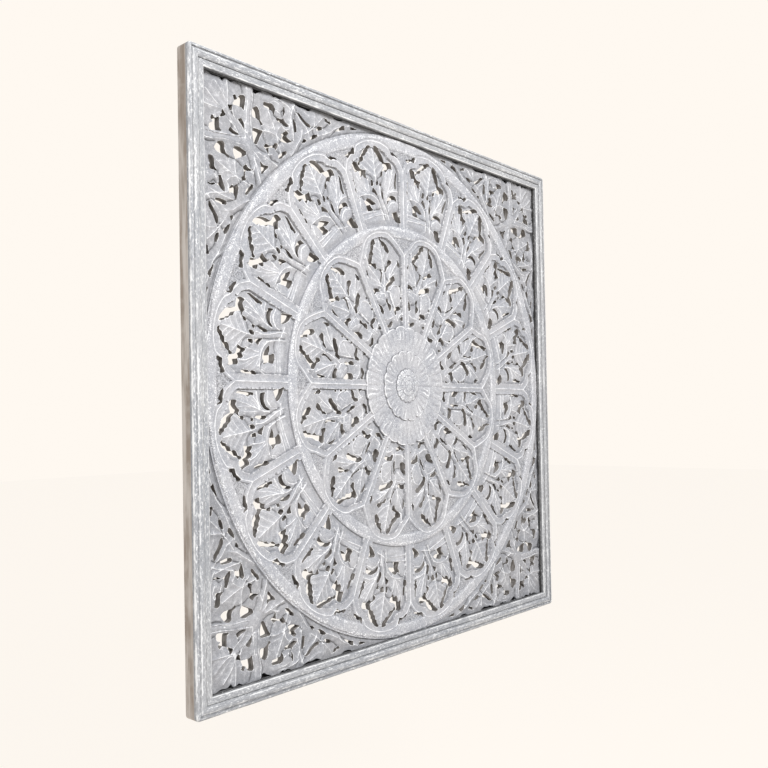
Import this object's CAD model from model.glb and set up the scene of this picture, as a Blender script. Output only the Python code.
import math

import bpy
import numpy as np
from mathutils import Matrix, Vector
from mathutils.geometry import delaunay_2d_cdt


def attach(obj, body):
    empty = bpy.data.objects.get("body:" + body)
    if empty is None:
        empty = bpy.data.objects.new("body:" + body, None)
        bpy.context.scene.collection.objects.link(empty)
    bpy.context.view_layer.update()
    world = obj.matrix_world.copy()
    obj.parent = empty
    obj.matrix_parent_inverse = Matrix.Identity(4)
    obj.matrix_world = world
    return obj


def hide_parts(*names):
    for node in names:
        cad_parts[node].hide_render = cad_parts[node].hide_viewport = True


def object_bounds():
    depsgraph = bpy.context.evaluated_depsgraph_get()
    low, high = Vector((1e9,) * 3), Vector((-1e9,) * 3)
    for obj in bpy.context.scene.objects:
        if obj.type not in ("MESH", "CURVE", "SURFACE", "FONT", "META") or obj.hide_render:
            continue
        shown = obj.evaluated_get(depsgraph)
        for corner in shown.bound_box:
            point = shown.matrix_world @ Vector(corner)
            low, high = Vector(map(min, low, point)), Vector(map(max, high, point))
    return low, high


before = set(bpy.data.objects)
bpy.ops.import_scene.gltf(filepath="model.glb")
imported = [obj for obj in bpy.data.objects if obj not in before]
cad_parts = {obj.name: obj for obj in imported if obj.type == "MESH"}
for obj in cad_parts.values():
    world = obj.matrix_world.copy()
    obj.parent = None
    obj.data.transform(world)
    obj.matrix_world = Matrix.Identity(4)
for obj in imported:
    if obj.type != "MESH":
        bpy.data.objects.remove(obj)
cadBox = [list(corner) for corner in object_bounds()]
mm = 0.001
panelHalf = round(cadBox[1][0] / mm, 1)
openingHalf = panelHalf - 27.0  # inside the rails' lip
around = 480  # points round each circle, so that neighbouring pieces meet point for point
patternMiddle = round((cadBox[0][2] + cadBox[1][2]) / 2, 4)  # height of the rosette's middle, in metres
print("frame loaded")

# Camera, where the photograph was taken from
cameraSpot = {
    "place": (-1.107, -0.943, -0.501),
    "azimuth": 48.46,
    "elevation": 1.04,
    "roll": -1.02,
    "lens": 39.33,
    "shiftX": -0.0009,
    "shiftY": 0.0285,
}


def makeCamera(spot):
    azimuth, elevation, roll = (math.radians(spot[key]) for key in ("azimuth", "elevation", "roll"))
    flat = math.cos(elevation)
    forward = Vector((math.sin(azimuth) * flat, math.cos(azimuth) * flat, math.sin(elevation)))
    right = Vector((math.cos(azimuth), -math.sin(azimuth), 0))
    up = right.cross(forward)
    tiltedRight = right * math.cos(roll) + up * math.sin(roll)
    tiltedUp = up * math.cos(roll) - right * math.sin(roll)
    data = bpy.data.cameras.new("photoCamera")
    data.lens = spot["lens"]
    data.sensor_width = 36
    data.shift_x = spot["shiftX"]
    data.shift_y = spot["shiftY"]
    camera = bpy.data.objects.new("photoCamera", data)
    turn = Matrix((tiltedRight, tiltedUp, -forward)).transposed().to_4x4()
    camera.matrix_world = Matrix.Translation(Vector(spot["place"])) @ turn
    bpy.context.scene.collection.objects.link(camera)
    bpy.context.scene.camera = camera


makeCamera(cameraSpot)
print("camera placed")


# Lines and outlines are drawn in millimetres from the rosette's middle, with x across and y up.
def smoothed(points, step, closed):
    tightness = 0.36  # a little tighter than Catmull-Rom, so teeth stay crisp
    points = [np.array(p, float) for p in points]
    count = len(points)
    made = []
    for i in range(count if closed else count - 1):
        p1, p2 = points[i], points[(i + 1) % count]
        p0 = points[i - 1] if closed or i > 0 else 2 * p1 - p2
        p3 = points[(i + 2) % count] if closed or i + 2 < count else 2 * p2 - p1
        m1, m2 = (p2 - p0) * tightness, (p3 - p1) * tightness
        parts = max(1, round(float(np.linalg.norm(p2 - p1)) / step))
        for t in (k / parts for k in range(parts)):
            start = (2 * t**3 - 3 * t**2 + 1) * p1 + (t**3 - 2 * t**2 + t) * m1
            made.append(start + (3 * t**2 - 2 * t**3) * p2 + (t**3 - t**2) * m2)
    if not closed:
        made.append(points[-1])
    return np.array(made)


def segmentsOf(line, closed=False):
    line = np.asarray(line, float)
    ends = np.roll(line, -1, axis=0) if closed else line[1:]
    starts = line if closed else line[:-1]
    return np.hstack([starts, ends])


def allSegments(lines, closed=False):
    return np.vstack([segmentsOf(line, closed) for line in lines])


def distanceTo(points, segments):
    points = np.asarray(points, float)
    best = np.full(len(points), 1e9)
    for x1, y1, x2, y2 in segments:
        dx, dy = x2 - x1, y2 - y1
        length = dx * dx + dy * dy or 1e-12
        t = np.clip(((points[:, 0] - x1) * dx + (points[:, 1] - y1) * dy) / length, 0, 1)
        away = np.hypot(points[:, 0] - x1 - t * dx, points[:, 1] - y1 - t * dy)
        np.minimum(best, away, out=best)
    return best


def insideOf(points, loop):
    points = np.asarray(points, float)
    inside = np.zeros(len(points), bool)
    for x1, y1, x2, y2 in segmentsOf(loop, True):
        if y1 == y2:
            continue
        crosses = (points[:, 1] < y1) != (points[:, 1] < y2)
        at = x1 + (points[:, 1] - y1) / (y2 - y1) * (x2 - x1)
        inside ^= crosses & (points[:, 0] < at)
    return inside


def inWood(points, domain, openings):
    kept = insideOf(points, domain)
    for loop in openings:
        kept &= ~insideOf(points, loop)
    return kept


def besideLine(line, away):
    line = np.asarray(line, float)
    way = np.gradient(line, axis=0)
    way /= np.linalg.norm(way, axis=1)[:, None] + 1e-12
    across = np.stack([-way[:, 1], way[:, 0]], 1)
    return np.vstack([line + across * away, line - across * away])


def closedLine(loop):
    return np.vstack([loop, loop[:1]])


def shifted(points, offset):
    return [(x + offset[0], y + offset[1]) for x, y in points]


def wedgePoint(radius, degrees):
    return (radius * math.sin(math.radians(degrees)), radius * math.cos(math.radians(degrees)))


def arcLine(radius, half, steps, margin=0.0):
    reach = half - margin
    return np.array([wedgePoint(radius, 2 * reach * k / steps - reach) for k in range(steps + 1)])


def offsetPoints(lines, distances, spacing=2.2):
    segments = allSegments(lines)
    found = []
    for away in distances:
        for line in lines:
            beside = besideLine(smoothed(line, spacing, False) if len(line) < 20 else line, away)
            found.append(beside[np.abs(distanceTo(beside, segments) - away) < 0.12])
    return np.vstack(found)


def trianglesIn(points, edges, domain, openings, closeness, facing):
    made = delaunay_2d_cdt([Vector(p) for p in points], edges, [], 0, closeness)
    flat = np.array([v[:] for v in made[0]])
    faces = np.array([f for f in made[2] if len(f) == 3])
    faces = faces[inWood(flat[faces].mean(1), domain, openings)]
    a, b, c = flat[faces[:, 0]], flat[faces[:, 1]], flat[faces[:, 2]]
    area = (b[:, 0] - a[:, 0]) * (c[:, 1] - a[:, 1]) - (b[:, 1] - a[:, 1]) * (c[:, 0] - a[:, 0])
    faces[area * facing < 0] = faces[area * facing < 0][:, ::-1]
    return flat, faces, made[3]


# How the points of the carved front are spread, in millimetres or as shares of the grain
meshing = {
    "besideRidge": 0.85,
    "besideOpening": 0.8,
    "apart": 0.6,  # points nearer than this to another line are left out
    "jitter": 0.18,
    "clear": 0.62,
    "rowStep": 0.866,
    "cell": 0.7,
    "seed": 5,
}


# Points beside each ridge and opening, then a jittered grid in the fields between
def pointsBetween(domain, openings, ridges, fixed, grain, extra):
    segments = np.vstack([segmentsOf(domain, True), allSegments(openings, True), allSegments(ridges)])
    free = [besideLine(ridge, meshing["besideRidge"]) for ridge in ridges]
    free = np.vstack(free + [besideLine(closedLine(loop), meshing["besideOpening"]) for loop in openings])
    free = free[distanceTo(free, segments) > meshing["apart"]]
    (left, low), (right, high) = fixed.min(0), fixed.max(0)
    rowStep = grain * meshing["rowStep"]
    rows, columns = int((high - low) / rowStep) + 1, int((right - left) / grain) + 1
    spots = ((r, c) for r in range(rows) for c in range(columns))
    grid = np.array([(left + (c + 0.5 * (r % 2)) * grain, low + r * rowStep) for r, c in spots])
    rng, jitter = np.random.default_rng(meshing["seed"]), meshing["jitter"]
    grid += rng.uniform(-jitter, jitter, grid.shape) * grain
    grid = grid[distanceTo(grid, segments) > meshing["clear"] * grain]
    free = np.vstack([free, grid, *extra])
    free = free[inWood(free, domain, openings)]
    cells, side = {}, meshing["cell"]
    for i, (x, y) in enumerate(free):  # no two free points in one small cell
        cells.setdefault((round(x / side), round(y / side)), i)
    return free[list(cells.values())]


# One carved motif: a flat-backed slab whose front follows the ridges, hollows and openings drawn on it
def carvedMotif(name, domain, onSeamOf, openings, ridges, heightOf, grain, extra):
    points = [tuple(p) for p in domain]
    edges = [(i, (i + 1) % len(points)) for i in range(len(points))]
    for lines, closed in ((openings, True), (ridges, False)):
        for line in lines:
            first = len(points)
            points.extend(tuple(p) for p in line)
            last = len(points) - 1
            edges.extend((i, i + 1) for i in range(first, last))
            if closed:
                edges.append((last, first))
    fixed = np.array(points)
    everything = np.vstack([fixed, pointsBetween(domain, openings, ridges, fixed, grain, extra)])
    flat, faces, _ = trianglesIn(everything, edges, domain, openings, closeness=1e-4, facing=1)
    used = np.unique(faces)
    number = np.full(len(flat), -1)
    number[used] = np.arange(len(used))
    flat, faces = flat[used], number[faces]

    # edges met by one face only bound the openings and the motif
    sides = {(f[i], f[(i + 1) % 3]): True for f in faces.tolist() for i in range(3)}
    rim = [(i, j) for i, j in sides if (j, i) not in sides]
    rimNumbers = sorted({i for pair in rim for i in pair})
    place = {n: k for k, n in enumerate(rimNumbers)}
    rimEdges = [(place[i], place[j]) for i, j in rim]
    rimPoints = [flat[n] for n in rimNumbers]
    _, backFaces, origins = trianglesIn(rimPoints, rimEdges, domain, openings, closeness=1e-6, facing=-1)

    height, masks = heightOf(flat)
    onSeam = onSeamOf(flat)
    paired = np.flatnonzero(onSeam)
    paired = paired[np.argsort(np.hypot(flat[paired, 0], flat[paired, 1]))].reshape(-1, 2)
    for values in (height, *masks.values()):  # neighbouring copies meet at one height
        values[paired] = values[paired].mean(1)[:, None]
    count = len(flat)
    vertices = [(x * mm, -h * mm, y * mm) for (x, y), h in zip(flat, height)]
    vertices += [(flat[n][0] * mm, 0.0, flat[n][1] * mm) for n in rimNumbers]
    solidFaces = [tuple(f) for f in faces.tolist()]
    solidFaces += [tuple(count + origins[i][0] for i in f) for f in backFaces.tolist()]
    sawn = [False] * len(faces) + [True] * len(backFaces)
    middles = np.array([(flat[i] + flat[j]) / 2 for i, j in rim])
    inOpening = distanceTo(middles, allSegments(openings, True)) < 0.05
    for (i, j), inner in zip(rim, inOpening):
        if not (onSeam[i] and onSeam[j]):
            solidFaces.append((j, i, count + place[i], count + place[j]))
            sawn.append(bool(inner))
    masks = {key: np.hstack([values, np.zeros(len(rimNumbers))]) for key, values in masks.items()}
    mesh = meshWithMasks(name, vertices, solidFaces, masks)
    mesh.attributes.new("cut", "BOOLEAN", "FACE").data.foreach_set("value", sawn)
    motif = bpy.data.objects.new(name, mesh)
    bpy.context.scene.collection.objects.link(motif)
    print(name, len(solidFaces), "faces,", sum(len(f) - 2 for f in solidFaces), "triangles")
    return motif


def meshWithMasks(name, vertices, faces, masks):
    mesh = bpy.data.meshes.new(name)
    mesh.from_pydata(vertices, [], faces)
    mesh.update()
    for key, values in masks.items():
        attribute = mesh.attributes.new(key, "FLOAT", "POINT")
        attribute.data.foreach_set("value", np.asarray(values, np.float32))
    return mesh


def finishedPiece(name, mesh, sharpAngle):
    mesh.set_sharp_from_angle(angle=math.radians(sharpAngle))
    piece = bpy.data.objects.new(name, mesh)
    bpy.context.scene.collection.objects.link(piece)
    return piece


def addNode(tree, kind, values=None, **settings):
    node = tree.nodes.new(kind)
    for key, value in settings.items():
        setattr(node, key, value)
    for key, value in (values or {}).items():
        if isinstance(value, bpy.types.NodeSocket):
            tree.links.new(value, node.inputs[key])
        else:
            node.inputs[key].default_value = value
    return node


def addMath(tree, operation, first, second):
    return addNode(tree, "ShaderNodeMath", {0: first, 1: second}, operation=operation).outputs[0]


# Geometry Nodes: turn a motif round the middle of the panel, join the copies and give them their materials
def turningTree():
    tree = bpy.data.node_groups.new("turnedMotif", "GeometryNodeTree")
    tree.is_modifier = True
    inputs = {
        "Geometry": "Geometry", "Copies": "Int", "First Turn": "Float", "Height": "Float",
        "Join Within": "Float", "Front": "Material", "Cut": "Material",
    }
    for key, kind in inputs.items():
        tree.interface.new_socket(key, in_out="INPUT", socket_type="NodeSocket" + kind)
    tree.interface.new_socket("Geometry", in_out="OUTPUT", socket_type="NodeSocketGeometry")
    given = tree.nodes.new("NodeGroupInput").outputs
    points = addNode(tree, "GeometryNodeMeshLine", {"Count": given["Copies"], "Offset": (0, 0, 0)})
    share = addMath(tree, "DIVIDE", addNode(tree, "GeometryNodeInputIndex").outputs[0], given["Copies"])
    values = {0: share, 1: math.tau, 2: given["First Turn"]}
    angle = addNode(tree, "ShaderNodeMath", values, operation="MULTIPLY_ADD")
    turn = addNode(tree, "ShaderNodeCombineXYZ", {"Y": angle.outputs[0]})
    up = addNode(tree, "ShaderNodeCombineXYZ", {"Z": given["Height"]})
    values = {"Points": points.outputs[0], "Instance": given["Geometry"], "Rotation": turn.outputs[0]}
    copies = addNode(tree, "GeometryNodeInstanceOnPoints", values)
    values = {"Instances": copies.outputs[0], "Translation": up.outputs[0], "Local Space": False}
    moved = addNode(tree, "GeometryNodeTranslateInstances", values)
    real = addNode(tree, "GeometryNodeRealizeInstances", {0: moved.outputs[0]})
    values = {"Geometry": real.outputs[0], "Distance": given["Join Within"]}
    joined = addNode(tree, "GeometryNodeMergeByDistance", values)
    values = {"Geometry": joined.outputs[0], "Material": given["Front"]}
    front = addNode(tree, "GeometryNodeSetMaterial", values)
    isCut = addNode(tree, "GeometryNodeInputNamedAttribute", {"Name": "cut"}, data_type="BOOLEAN")
    values = {"Geometry": front.outputs[0], "Selection": isCut.outputs["Attribute"], "Material": given["Cut"]}
    walls = addNode(tree, "GeometryNodeSetMaterial", values)
    addNode(tree, "NodeGroupOutput", {"Geometry": walls.outputs[0]})
    return tree


motifTree = turningTree()


def turnedPiece(motif, name, copies, firstTurn):
    modifier = motif.modifiers.new("turned", "NODES")
    modifier.node_group = motifTree
    values = {
        "Copies": copies,
        "First Turn": math.radians(firstTurn),
        "Height": patternMiddle,
        "Join Within": 0.00002,
        "Front": carvingPaint,
        "Cut": sawnWood,
    }
    for item in motifTree.interface.items_tree:
        if item.in_out == "INPUT" and item.name in values:
            modifier[item.identifier] = values[item.name]
    depsgraph = bpy.context.evaluated_depsgraph_get()
    mesh = bpy.data.meshes.new_from_object(motif.evaluated_get(depsgraph))
    mesh.name = name
    bpy.data.objects.remove(motif)
    return finishedPiece(name, mesh, sharpAngle=38)


# Effects shared by the materials
def shaderGroup(name, inputs, outputs):
    tree = bpy.data.node_groups.new(name, "ShaderNodeTree")
    for key, (kind, value) in inputs.items():
        tree.interface.new_socket(key, in_out="INPUT", socket_type="NodeSocket" + kind).default_value = value
    for key, kind in outputs.items():
        tree.interface.new_socket(key, in_out="OUTPUT", socket_type="NodeSocket" + kind)
    return tree, tree.nodes.new("NodeGroupInput").outputs


def addMix(tree, factor, first, second, blend="MIX"):
    values = {0: factor, 6: first, 7: second}
    return addNode(tree, "ShaderNodeMix", values, data_type="RGBA", blend_type=blend).outputs[2]


def addRange(tree, value, low, high, toLow=0.0, toHigh=1.0):
    values = {"Value": value, "From Min": low, "From Max": high, "To Min": toLow, "To Max": toHigh}
    return addNode(tree, "ShaderNodeMapRange", values, interpolation_type="SMOOTHSTEP").outputs[0]


def addNoise(tree, place, scale, detail, roughness):
    values = {"Vector": place, "Scale": scale, "Detail": detail, "Roughness": roughness}
    return addNode(tree, "ShaderNodeTexNoise", values).outputs["Fac"]


def objectPlace(tree, stretch=None):
    place = addNode(tree, "ShaderNodeTexCoord").outputs["Object"]
    if stretch is None:
        return place
    return addNode(tree, "ShaderNodeVectorMath", {0: place, 1: stretch}, operation="MULTIPLY").outputs[0]


def agedPaintGroup():
    inputs = {
        "Paint": ("Color", (0.45, 0.5, 0.55, 1)),
        "Rubbed": ("Color", (0.8, 0.8, 0.8, 1)),
        "Hollow Tone": ("Color", (0.3, 0.33, 0.36, 1)),
        "Wear": ("Float", 0.0),
        "Crest": ("Float", 0.0),
        "Hollow": ("Float", 0.0),
        "Stretch": ("Vector", (1, 1, 1)),
    }
    outputs = {"Color": "Color", "Rubbed Mask": "Float", "Height": "Float"}
    tree, given = shaderGroup("agedPaint", inputs, outputs)
    place = objectPlace(tree, given["Stretch"])
    broad = addNoise(tree, place, 14, 3, 0.6)
    fine = addNoise(tree, place, 160, 5, 0.7)
    grit = addNoise(tree, place, 620, 3, 0.65)
    patches = addNoise(tree, place, 48, 3, 0.6)
    # colour of the paint, washed unevenly over the carving
    deeper = addMix(tree, 1.0, given["Paint"], (0.80, 0.82, 0.85, 1), "MULTIPLY")
    tone = addMix(tree, addRange(tree, broad, 0.35, 0.65), deeper, given["Paint"])
    chalk = addMix(tree, addRange(tree, fine, 0.5, 0.72, 0.0, 0.35), tone, given["Rubbed"])
    chalk = addMix(tree, addRange(tree, grit, 0.52, 0.72, 0.0, 0.34), chalk, given["Rubbed"])
    chalk = addMix(tree, addRange(tree, grit, 0.46, 0.3, 0.0, 0.4), chalk, given["Hollow Tone"])
    low = addMath(tree, "MULTIPLY", given["Hollow"], addRange(tree, fine, 0.25, 0.7, 1.0, 0.55))
    washed = addMix(tree, low, chalk, given["Hollow Tone"])
    washed = addMix(tree, addRange(tree, given["Hollow"], 1.0, 1.5), washed, (0.016, 0.015, 0.014, 1))
    # edges rubbed back to the white ground coat, and speckles on the rounds
    rubbing = addMath(tree, "MULTIPLY", given["Wear"], addRange(tree, patches, 0.34, 0.56, 0.72, 1.12))
    edge = addMath(tree, "ADD", rubbing, addRange(tree, fine, 0.25, 0.75, -0.32, 0.24))
    rounds = addMath(tree, "MULTIPLY", given["Crest"], addRange(tree, patches, 0.34, 0.62, 0.55, 1.25))
    speck = addMath(tree, "ADD", rounds, addRange(tree, grit, 0.3, 0.7, -0.7, 0.4))
    mask = addMath(tree, "MAXIMUM", addRange(tree, edge, 0.4, 0.82), addRange(tree, speck, 0.28, 0.62))
    bumps = addMath(tree, "ADD", addMath(tree, "MULTIPLY", fine, 0.6), addMath(tree, "MULTIPLY", grit, 0.4))
    colour = addMix(tree, mask, washed, given["Rubbed"])
    height = addMath(tree, "SUBTRACT", bumps, addMath(tree, "MULTIPLY", mask, 0.25))
    addNode(tree, "NodeGroupOutput", {"Color": colour, "Rubbed Mask": mask, "Height": height})
    return tree


def bareWoodGroup():
    inputs = {
        "Wood": ("Color", (0.25, 0.2, 0.16, 1)),
        "Dark Grain": ("Color", (0.12, 0.08, 0.06, 1)),
        "Grain Way": ("Vector", (1, 1, 1)),
    }
    tree, given = shaderGroup("bareWood", inputs, {"Color": "Color", "Height": "Float"})
    streaks = addNoise(tree, objectPlace(tree, given["Grain Way"]), 60, 6, 0.65)
    patches = addNoise(tree, objectPlace(tree), 30, 3, 0.6)
    colour = addMix(tree, addRange(tree, streaks, 0.42, 0.62), given["Dark Grain"], given["Wood"])
    pale = addMix(tree, addRange(tree, patches, 0.45, 0.7, 0.0, 0.45), colour, given["Wood"])
    addNode(tree, "NodeGroupOutput", {"Color": pale, "Height": streaks})
    return tree


def punchedGroundGroup():
    inputs = {"Amount": ("Float", 0.0), "Spacing": ("Float", 480.0)}
    tree, given = shaderGroup("punchedGround", inputs, {"Height": "Float", "Mask": "Float"})
    cells = addNode(tree, "ShaderNodeTexVoronoi", {"Vector": objectPlace(tree), "Scale": given["Spacing"]})
    pits = addRange(tree, cells.outputs["Distance"], 0.12, 0.55)
    height = addMath(tree, "MULTIPLY", pits, given["Amount"])
    mask = addMath(tree, "MULTIPLY", addMath(tree, "SUBTRACT", 1.0, pits), given["Amount"])
    addNode(tree, "NodeGroupOutput", {"Height": height, "Mask": mask})
    return tree


agedPaint = agedPaintGroup()
bareWood = bareWoodGroup()
punchedGround = punchedGroundGroup()


def addGroup(tree, group, values):
    return addNode(tree, "ShaderNodeGroup", values, node_tree=group).outputs


def addBump(tree, height, strength, distance, before=None):
    values = {"Height": height, "Strength": strength, "Distance": distance}
    if before:
        values["Normal"] = before
    return addNode(tree, "ShaderNodeBump", values).outputs[0]


def newMaterial(name, values):
    material = bpy.data.materials.new(name)
    material.use_nodes = True
    shader = material.node_tree.nodes["Principled BSDF"]
    for key, value in values.items():
        shader.inputs[key].default_value = value
    return material, material.node_tree, shader.inputs


carvingFinish = {
    "paint": (0.37, 0.368, 0.384, 1),
    "rubbed": (0.69, 0.69, 0.7, 1),
    "hollowTone": (0.11, 0.11, 0.115, 1),
}
mouldingFinish = {
    "paint": (0.325, 0.327, 0.337, 1),
    "rubbed": (0.62, 0.62, 0.62, 1),
    "hollowTone": (0.07, 0.068, 0.065, 1),
}
woodFinish = {"wood": (0.55, 0.505, 0.465, 1), "darkGrain": (0.3, 0.25, 0.21, 1)}
cutFinish = {"wood": (0.285, 0.268, 0.255, 1), "darkGrain": (0.126, 0.114, 0.105, 1)}


def paintMaterial(name, finish, stippled, stretch=(1, 1, 1)):
    material, tree, shader = newMaterial(name, {"Specular IOR Level": 0.3})
    values = {"Paint": finish["paint"], "Rubbed": finish["rubbed"], "Hollow Tone": finish["hollowTone"]}
    for key in ("Wear", "Crest", "Hollow"):
        values[key] = addNode(tree, "ShaderNodeAttribute", attribute_name=key.lower()).outputs["Fac"]
    coat = addGroup(tree, agedPaint, {**values, "Stretch": stretch})
    colour, normal = coat["Color"], addBump(tree, coat["Height"], 0.35, 0.0006)
    if stippled:
        amount = addNode(tree, "ShaderNodeAttribute", attribute_name="stipple").outputs["Fac"]
        ground = addGroup(tree, punchedGround, {"Amount": amount})
        colour = addMix(tree, ground["Mask"], colour, finish["hollowTone"])
        normal = addBump(tree, ground["Height"], 0.8, 0.0012, normal)
    tree.links.new(colour, shader["Base Color"])
    tree.links.new(addRange(tree, coat["Rubbed Mask"], 0, 1, 0.62, 0.8), shader["Roughness"])
    tree.links.new(normal, shader["Normal"])
    return material


def woodMaterial(name, finish, grainWay):
    material, tree, shader = newMaterial(name, {"Roughness": 0.82, "Specular IOR Level": 0.2})
    values = {"Wood": finish["wood"], "Dark Grain": finish["darkGrain"], "Grain Way": grainWay}
    wood = addGroup(tree, bareWood, values)
    tree.links.new(wood["Color"], shader["Base Color"])
    tree.links.new(addBump(tree, wood["Height"], 0.5, 0.0008), shader["Normal"])
    return material


carvingPaint = paintMaterial("carvingPaint", carvingFinish, True)
mouldingPaint = paintMaterial("mouldingPaint", mouldingFinish, False, (1, 1, 0.3))  # brushed along the rail
mouldingPaintAcross = paintMaterial("mouldingPaintAcross", mouldingFinish, False, (0.3, 1, 1))
sawnWood = woodMaterial("sawnWood", cutFinish, (0.6, 2.5, 0.6))
railWood = woodMaterial("railWood", woodFinish, (1.0, 1.0, 0.08))
railWoodAcross = woodMaterial("railWoodAcross", woodFinish, (0.08, 1.0, 1.0))
print("materials made")

# The surface of the carving: heights in millimetres from the wall, and how far each effect reaches
surface = {
    "board": 14.3,
    "underLip": 12.5,  # where the board passes under the rails
    "leafStart": 0.25,  # a leaf's midrib below the face of the board
    "fall": 2.8,  # how far a leaf slopes down from its midrib
    "fallReach": 6.5,
    "veinCut": 1.0,  # hollows between veins
    "veinReach": 1.7,
    "toolLine": 2.7,  # a fainter tool line beside each vein
    "toolRise": 0.3,
    "moundStart": 2.4,
    "moundReach": 3.6,
    "grooveDepth": 2.2,  # where one leaf passes under the next
    "bandScoop": 1.15,
    "bandLip": 3.0,  # flat edge outside the line of an arch
    "bandLine": 0.25,  # raised line of an arch
    "bandStep": 0.9,  # drop on the inner side of a band
    "edgeDrop": 0.5,  # rounded edge of an opening
    "ground": 2.3,  # depth of the punched ground
    "ringRise": 1.3,
    "ringEdge": 0.5,
    "ringFoot": 0.6,
    "groundEnd": 0.6,  # the ground ends this far inside the ring
}


def fade(away, width, start=1.0):
    return np.clip(start - away / width, 0, 1)


def bell(away, width):
    return np.exp(-((away / width) ** 2))


# Leaves, stems and pods: they fall from their ridges and veins, and mounds swell between them
def carvedHeight(points, drawing):
    s = surface
    ridgeAway = distanceTo(points, allSegments(drawing["ridges"]))
    veinAway = np.minimum(ridgeAway, distanceTo(points, allSegments(drawing["veins"])))
    openAway = distanceTo(points, allSegments(drawing["openings"], True))
    grooveAway = distanceTo(points, allSegments(drawing["grooves"]))
    height = s["board"] - s["leafStart"] - s["fall"] * (1 - np.exp(-ridgeAway / s["fallReach"]))
    height -= s["veinCut"] * (1 - np.exp(-veinAway / s["veinReach"]))
    hollow = 0.3 * np.clip((veinAway - 0.8) / 3.0, 0, 1)
    for outline, rise in drawing["mounds"]:
        within = insideOf(points, outline)
        deep = distanceTo(points, segmentsOf(outline, True))
        swell = s["board"] - s["moundStart"] + rise * (1 - np.exp(-deep / s["moundReach"]))
        height = np.where(within, swell, height)
        hollow = np.where(within, 0.1, hollow)
    height -= s["grooveDepth"] * bell(grooveAway, 1.0)
    hollow = np.maximum(hollow, bell(grooveAway, 1.1))
    toolLine = fade(np.abs(veinAway - s["toolLine"]), 0.9)
    height += s["toolRise"] * toolLine
    rubbedLines = (
        fade(ridgeAway, 1.0, 1.2),
        0.78 * fade(veinAway, 0.8, 1.1),
        0.95 * fade(openAway, 1.0, 1.1),
        0.62 * toolLine,
        0.6 * fade(np.abs(grooveAway - 2.2), 0.9),
    )
    masks = {key: np.zeros(len(points)) for key in ("wear", "crest", "hollow", "stipple")}
    masks.update(wear=np.maximum.reduce(rubbedLines), hollow=hollow)
    if "arch" in drawing:
        height = withArch(points, drawing, openAway, height, masks)
    height -= s["edgeDrop"] * bell(openAway, 0.7)
    if "arch" in drawing:
        underRails = np.hypot(points[:, 0], points[:, 1]) > openingHalf - 0.5
        height = np.where(underRails, np.minimum(height, s["underLip"]), height)
    return height, masks


# The band along an arch, the punched ground outside it and the rounded ring
def withArch(points, drawing, openAway, height, masks):
    s = surface
    wear, hollow = masks["wear"], masks["hollow"]
    inArch = insideOf(points, drawing["archOutline"])
    archAway = distanceTo(points, allSegments(drawing["arch"]))
    width, lip, ring = drawing["bandWidth"], s["bandLip"], drawing["ring"]
    scoop = np.sin(np.pi * np.clip(archAway / width, 0, 1))
    band = np.where(inArch, s["board"] - s["bandScoop"] * scoop**0.8, s["board"] - 0.1)
    onBand = archAway < np.where(inArch, width, lip) + 0.05
    height = np.where(onBand, band, height)
    hollow = np.where(onBand, 0.12 * scoop, hollow)
    line = fade(archAway, 1.0, 1.2)
    edge = 0.75 * fade(np.abs(archAway - width), 0.8) * inArch
    step = inArch * ~onBand * bell(archAway - width - 1.1, 1.2) * (openAway > 0.1)
    height += s["bandLine"] * line - s["bandStep"] * step
    hollow = np.maximum(hollow, 0.6 * step)
    wear = np.where(onBand, np.maximum(np.maximum(line, edge), wear * (openAway < 1)), wear)

    radius = np.hypot(points[:, 0], points[:, 1])
    outside = ~inArch & ~onBand
    deep = np.minimum(archAway - lip, ring["inner"] - s["groundEnd"] - radius)
    onGround = outside & (deep > 0)
    sunk = np.clip(deep / 1.1, 0, 1)
    height = np.where(onGround, s["board"] - s["ground"] * sunk, height)
    hollow = np.where(onGround, 0.14 * sunk, hollow)
    wear = np.where(onGround, 0.8 * fade(openAway, 0.9), wear)
    masks["stipple"] = np.where(onGround, 0.7 * sunk, 0)

    onRing = outside & ~onGround & (radius >= ring["inner"] - 0.7)
    middle, half = (ring["inner"] + ring["outer"]) / 2, (ring["outer"] - ring["inner"]) / 2
    across = np.clip((radius - middle) / half, -1, 1)
    rounded = (s["ringRise"] + s["ringEdge"]) * np.sqrt(1 - np.abs(across) ** 3) - s["ringEdge"]
    beside = np.clip((archAway - lip) / 1.2, 0, 1)
    ringHeight = s["board"] - s["ringFoot"] + (rounded + s["ringFoot"]) * beside
    height = np.where(onRing, ringHeight, height)
    speckle = 0.15 + 0.3 * bell(across - 0.7, 0.25) + 0.3 * bell(across + 0.8, 0.14)
    rims = np.maximum(0.8 * fade(np.abs(across - 0.88), 0.13), 0.7 * fade(np.abs(across + 0.9), 0.12))
    masks["crest"] = np.where(onRing, speckle, np.where(onGround, 0.14 * sunk, 0))
    masks["wear"] = np.where(onRing, rims * (archAway > lip + 0.5), wear)
    masks["hollow"] = np.where(onRing, 0.5 * (1 - beside), hollow)
    return height


# One ring of arched fields: a wedge of the ring is carved once, then turned into its copies
def makeWedge(field, half):
    inner, outer = field["inner"], field["outer"]
    steps = round((outer - inner) / field["seamStep"])
    radii = [inner + (outer - inner) * k / steps for k in range(steps + 1)]
    arcSteps = around // field["copies"]
    right = [wedgePoint(r, half) for r in radii]
    left = [(-x, y) for x, y in reversed(right)]
    top = [wedgePoint(outer, half * (1 - 2 * k / arcSteps)) for k in range(1, arcSteps)]
    bottom = [wedgePoint(inner, -half * (1 - 2 * k / arcSteps)) for k in range(1, arcSteps)]
    return right + top + left + bottom, radii


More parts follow.
